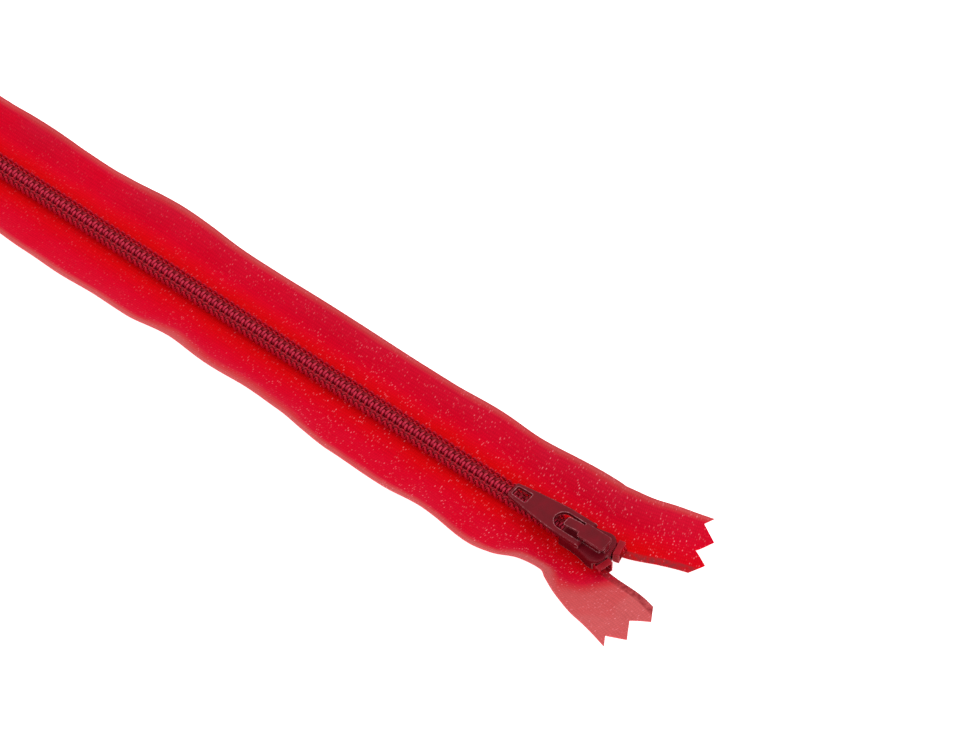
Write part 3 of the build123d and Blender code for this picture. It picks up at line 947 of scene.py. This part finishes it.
@dataclass
class SewnSide:
    """Coil, filler cord, seams and looper thread of one side."""

    form: TapeForm
    head_at: float
    coil_end: float
    pitch: float = 1.3 * MM
    filament: float = 0.25 * MM
    head_reach: float = 0.4 * MM
    back: float = 2.2 * MM
    height: float = 1.6 * MM
    cord_at: float = 1.12 * MM
    cord_radius: float = 0.27 * MM
    thread_radius: float = 0.1 * MM
    inner_seam: float = 1.25 * MM
    outer_seam: float = 1.85 * MM
    row_start: float = 0.4 * MM

    def lay(self, piece: bpy.types.Object, level: float) -> None:
        """Lays a piece made in chain lengths on its tape.

        Args:
            piece: the strand or coil, with its own heights.
            level: height of the cloth's face that those are measured from,
                relative to the middle of the cloth.
        """
        x, t, z = read_points(piece).T
        height = self.form.raised(x, t - self.form.inner) + level + z
        laid = np.column_stack([*self.form.turned(x, t), height])
        write_points(piece, self.form.line.carry(laid, self.form.side))

    def run(
        self, piece: bpy.types.Object, count: int, pitch: float, start: float, face: float
    ) -> bpy.types.Object:
        """Repeats one turn or stitch along the chain and lays the row on the tape.

        Args:
            piece: the single turn.
            count: how many there are.
            pitch: distance between them.
            start: chain length that the first is moved to.
            face: which face of the cloth carries it, 1 above and -1 below.

        Returns:
            The same piece, finished.
        """
        repeat(piece, count, pitch)
        points = read_points(piece)
        points[:, 0] += start
        write_points(piece, points)
        outward(piece)
        self.lay(piece, face * self.form.thickness / 2)
        shade(piece)
        return piece

    def turns(self, start: float, end: float) -> tuple[float, int]:
        """First head and number of turns that fit between two chain lengths.

        Args:
            start: where the run begins.
            end: where it ends.

        Returns:
            Chain length of the first head, and the count.
        """
        back = math.floor((self.head_at - start) / self.pitch)
        first = self.head_at - back * self.pitch
        return first, math.floor((end - first) / self.pitch) + 1

    def coil(self) -> bpy.types.Object:
        """Winds the coil: lower leg, head, slanted upper leg and back of each turn.

        Returns:
            The coil.
        """
        r, p = self.filament, self.pitch
        low, high = r, self.height - r
        head, back = r * 0.8 - self.head_reach, self.back - r
        middle = self.height / 2
        rings = [
            Ring((-0.30 * p, back - 0.1 * MM, low), (0.25, -1, 0), r, r),
            Ring((-0.04 * p, head + 0.55 * MM, low), (0.1, -1, 0), r, r),
            Ring((0.0, head + 0.1 * MM, low + 0.08 * MM), (0, -0.7, 0.5), r * 1.2, r * 0.9),
            Ring((0.0, head, middle), (0, 0, 1), r * 1.25, r * 0.8),
            Ring((0.0, head + 0.1 * MM, high - 0.08 * MM), (0, 0.7, 0.5), r * 1.2, r * 0.9),
            Ring((0.04 * p, head + 0.55 * MM, high), (0.15, 1, 0), r, r),
            Ring((0.34 * p, back - 0.25 * MM, high), (0.4, 1, -0.1), r, r),
            Ring((0.45 * p, back, high - 0.22 * MM), (0.4, 0.5, -1), r, r * 0.95),
            Ring((0.57 * p, back, low + 0.22 * MM), (0.4, -0.5, -1), r, r * 0.95),
            Ring((0.70 * p, back - 0.1 * MM, low), (0.25, -1, 0), r, r),
        ]
        piece = strand(self.form.side.node("monofilament_coil"), rings, 6)
        first, count = self.turns(0.6 * MM, self.coil_end - 0.5 * MM)
        return self.run(piece, count, p, first, 1)

    def seam(self, name: str, offset: float) -> bpy.types.Object:
        """Sews a row of needle stitches over the coil's legs.

        Args:
            name: which row it is.
            offset: where it runs.

        Returns:
            The row of stitches.
        """
        p, r = self.pitch, self.thread_radius
        top, bottom = self.height + r * 0.6, 0.35 * MM
        rings = []
        for k in range(9):
            share = k / 8
            height = bottom + (top - bottom) * (0.5 - 0.5 * math.cos(2 * math.pi * share)) ** 0.6
            slope = math.sin(2 * math.pi * share) * 1.6
            rings.append(Ring(((share - 0.5) * p, offset, height), (1, 0, slope), r * 1.3, r))
        piece = strand(self.form.side.node(name), rings, 6)
        lean = 0.04 * p + (offset - 0.35 * MM) / (self.back - self.filament) * 0.3 * p
        first, count = self.turns(self.row_start + p, self.coil_end - p / 2)
        return self.run(piece, count, p, first + lean, 1)

    def cord(self) -> bpy.types.Object:
        """Lays the twisted filler cord inside the coil.

        Returns:
            The cord.
        """
        r, p = self.cord_radius, self.pitch / 2
        rings = []
        for k in range(5):
            swell = 1 + 0.12 * math.cos(2 * math.pi * k / 4)
            rings.append(
                Ring((k / 4 * p, self.cord_at, self.height / 2), (1, 0, 0), r * 1.7 * swell, r * swell)
            )
        piece = strand(self.form.side.node("twisted_filler_cord"), rings, 8)
        count = math.floor((self.coil_end - self.row_start) / p)
        return self.run(piece, count, p, self.row_start, 1)

    def looper(self) -> bpy.types.Object:
        """Lays the looper thread in a zigzag under the tape.

        Returns:
            The thread.
        """
        p, r = self.pitch, self.thread_radius * 0.8
        middle = (self.inner_seam + self.outer_seam) / 2
        swing = (self.outer_seam - self.inner_seam) / 2 + 0.1 * MM
        under = -0.05 * MM
        rings = []
        for k in range(9):
            angle = 2 * math.pi * k / 8
            rings.append(
                Ring(
                    (k / 8 * p, middle + swing * math.sin(angle), under),
                    (1, 2.4 * math.cos(angle), 0), r, r,
                )
            )
        piece = strand(self.form.side.node("zigzag_looper"), rings, 6)
        count = math.floor((self.coil_end - self.row_start) / p)
        return self.run(piece, count, p, self.row_start, -1)


# ---- the zipper -------------------------------------------------------------
@dataclass
class Zipper:
    """The whole zipper: two sewn sides, and the metal pieces that run on them."""

    line: ChainLine = field(default_factory=ChainLine)
    top_tail: float = 15.9 * MM
    bottom_tail: float = 14.0 * MM
    tape_inner: float = 0.5 * MM
    tape_thickness: float = 0.35 * MM
    tape_width: float = 12.0 * MM
    ridge: float = 0.92 * MM
    bottom_phase: float = -1.6 * MM
    top_phase: float = 2.85 * MM
    prong_half: float = 0.14 * MM
    pitch: float = 1.3 * MM

    def left_form(self) -> TapeForm:
        """How the left tape lies.

        Returns:
            Its form.
        """
        curls = (
            0.30, 0.34, 0.36, 0.30, 0.26, 0.30, 0.36, 0.34, 0.38, 0.71, 0.37, 0.27,
            0.28, 0.57, 0.63, 0.36, 0.61, 0.40, 0.40, 0.42, 0.57, 0.58, 0.55, 0.47,
            0.47, 0.55, 0.57, 0.42, 0.55, 0.57, 0.61, 0.60, 0.62, 0.60, 0.35, 0.20,
        )
        return TapeForm(
            Side.LEFT, self.line, self.tape_inner, self.tape_width, self.tape_thickness,
            self.ridge, curls, tail_lift=(1.3 * MM, 1.0 * MM), tail_turn=math.radians(5.0),
            swells=((74 * MM, 14 * MM, 0.9 * MM), (147 * MM, 11 * MM, 0.6 * MM),
                    (172 * MM, 20 * MM, 1.3 * MM)),
            glow=0.42, tail_glow=0.0, rim_glow=0.85,
        )

    def right_form(self) -> TapeForm:
        """How the right tape lies.

        Returns:
            Its form.
        """
        curls = (
            0.28, 0.24, 0.26, 0.32, 0.36, 0.34, 0.28, 0.30, 0.35, 0.35, 0.42, 0.31,
            0.33, 0.26, 0.38, 0.36, 0.37, 0.62, 0.52, 0.46, 0.57, 0.53, 0.48, 0.25,
            0.27, 0.20, 0.26, 0.45, 0.24, 0.14, 0.58, 0.86, 0.66, 0.42, 0.28, 0.22,
        )
        return TapeForm(
            Side.RIGHT, self.line, self.tape_inner, self.tape_width, self.tape_thickness,
            self.ridge, curls, tail_lift=(3.9 * MM, 3.3 * MM), tail_turn=0.0,
            swells=(), glow=1.0, tail_glow=0.92, rim_glow=0.95,
        )

    def settle(self, piece: bpy.types.Object, side: Side, node: str) -> None:
        """Makes a soft piece stand for its node.

        Args:
            piece: the finished piece.
            side: which half it belongs to.
            node: the node's name without its side.
        """
        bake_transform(piece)
        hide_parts(side.node(node))
        LOG.info("%s: %d faces", piece.name, len(piece.data.polygons))

    def build_side(self, form: TapeForm, finishes: dict[str, bpy.types.Material]) -> None:
        """Builds and dresses one half.

        Args:
            form: how its tape lies.
            finishes: materials by their use.
        """
        side = form.side
        tape_end = self.line.mouth + self.top_tail
        tape = Tape(
            form, -self.bottom_tail, tape_end,
            side.value * self.bottom_phase, side.value * self.top_phase,
        )
        cloth = tape.build()
        cloth.data.materials.append(finishes["tape"])
        cloth.data.materials.append(finishes["cut"])
        self.settle(cloth, side, "tape")
        prong_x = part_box("lock_spring")[0].x + self.prong_half - self.line.start
        step = 0.5 if side is Side.LEFT else 0.0
        coil_end = self.line.mouth + 1.6 * MM
        sewn = SewnSide(form, prong_x + step * self.pitch, coil_end)
        pieces = (
            (sewn.coil(), "coil", "coil_monofilament", "coil"),
            (sewn.cord(), "filler_cord", "filler_cord", "cord"),
            (sewn.seam("inner_stitches", sewn.inner_seam), "inner_seam", "sewing_thread", "thread"),
            (sewn.seam("outer_stitches", sewn.outer_seam), "outer_seam", "sewing_thread", "thread"),
            (sewn.looper(), "looper_thread", "sewing_thread", "thread"),
        )
        for piece, node, slot, finish in pieces:
            piece.data.materials.append(finishes[finish])
            self.settle(piece, side, node)

    def dress_metal(self, finishes: dict[str, bpy.types.Material]) -> None:
        """Gives the metal nodes their enamel.

        Args:
            finishes: materials by their use.
        """
        for node in ("slider_body", "slider_cap", "pull_tab", "lock_spring"):
            self.enamel(node, finishes["slider"])
        for node in ("bottom_stop", "left_top_stop", "right_top_stop"):
            self.enamel(node, finishes["stop"])

    def enamel(self, node: str, finish: bpy.types.Material) -> None:
        """Puts a finish on a metal node.

        Args:
            node: the node's name.
            finish: its enamel.
        """
        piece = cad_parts[node]
        for place in piece.material_slots:
            place.link = "OBJECT"
            place.material = finish
        LOG.info("%s: enamelled", node)


# ---- stage ------------------------------------------------------------------
@dataclass(frozen=True)
class Stage:
    """Pale board, soft studio light and the camera."""

    view_azimuth: float = math.radians(38.06)
    view_elevation: float = math.radians(54.0)
    view_distance: float = 867.6 * MM
    lens: float = 177.1
    sensor: float = 36.0
    ahead_of_front: float = 42.6 * MM
    beside: float = 20.7 * MM

    def board(self) -> None:
        """Lays the board under the zipper."""
        deselect()
        bpy.ops.mesh.primitive_plane_add(size=6.0)
        board = bpy.context.object
        board.name = "floor"
        bpy.ops.object.mode_set(mode="EDIT")
        bpy.ops.mesh.select_all(action="SELECT")
        bpy.ops.mesh.subdivide(number_cuts=3)
        bpy.ops.object.mode_set(mode="OBJECT")
        board.data.materials.append(PaleBoard().material())

    def lights(self) -> None:
        """Sets a bright even sky and two large soft boxes."""
        world = bpy.data.worlds.new("studio")
        bpy.context.scene.world = world
        world.use_nodes = True
        sky = world.node_tree.nodes["Background"]
        sky.inputs["Color"].default_value = (1, 1, 1, 1)
        sky.inputs["Strength"].default_value = 0.8
        boxes = (
            ("key_box", (-0.45, 0.75, 0.9), 0.9, 6.0),
            ("fill_box", (0.7, -0.6, 0.8), 1.0, 3.0),
        )
        for name, place, size, power in boxes:
            deselect()
            bpy.ops.object.light_add(type="AREA", location=place)
            lamp = bpy.context.object
            lamp.name = name
            lamp.data.size = size
            lamp.data.energy = power
            aim = -Vector(place)
            lamp.rotation_euler = aim.to_track_quat("-Z", "Y").to_euler()

    def camera(self, line: ChainLine) -> None:
        """Places the camera.

        Args:
            line: the chain's line, which the view is set from.
        """
        target = Vector((line.front - self.ahead_of_front, self.beside, 0.0))
        flat = math.cos(self.view_elevation)
        toward = Vector(
            (
                math.sin(self.view_azimuth) * flat,
                -math.cos(self.view_azimuth) * flat,
                math.sin(self.view_elevation),
            )
        )
        deselect()
        bpy.ops.object.camera_add(location=target + toward * self.view_distance)
        camera = bpy.context.object
        camera.name = "studio_camera"
        camera.rotation_euler = (-toward).to_track_quat("-Z", "Y").to_euler()
        camera.data.lens = self.lens
        camera.data.sensor_width = self.sensor
        camera.data.clip_start = 0.01
        bpy.context.scene.camera = camera
        bpy.context.scene.view_settings.view_transform = "Standard"


def main() -> None:
    """Builds the zipper and its stage, and reports each piece."""
    logging.basicConfig(level=logging.INFO, format="%(name)s %(message)s")
    zipper = Zipper()
    stage = Stage()
    stage.camera(zipper.line)
    stage.lights()
    stage.board()
    finishes = {
        "tape": WovenTape().material(),
        "cut": CutEdge().material(),
        "coil": Monofilament().material(),
        "cord": Yarn("twisted_cord", "A82A36", "7A1420", 0.5 * MM).material(),
        "thread": Yarn("sewing_thread", "D02238", "A00C20", 0.18 * MM).material(),
        "slider": BakedEnamel("maroon_enamel", "760F1E", "640C18", "B8787E").material(),
        "stop": BakedEnamel("crimson_enamel", "A81022", "8C0C1A", "C8505E").material(),
    }
    zipper.build_side(zipper.left_form(), finishes)
    zipper.build_side(zipper.right_form(), finishes)
    zipper.dress_metal(finishes)


if __name__ == "__main__":
    main()
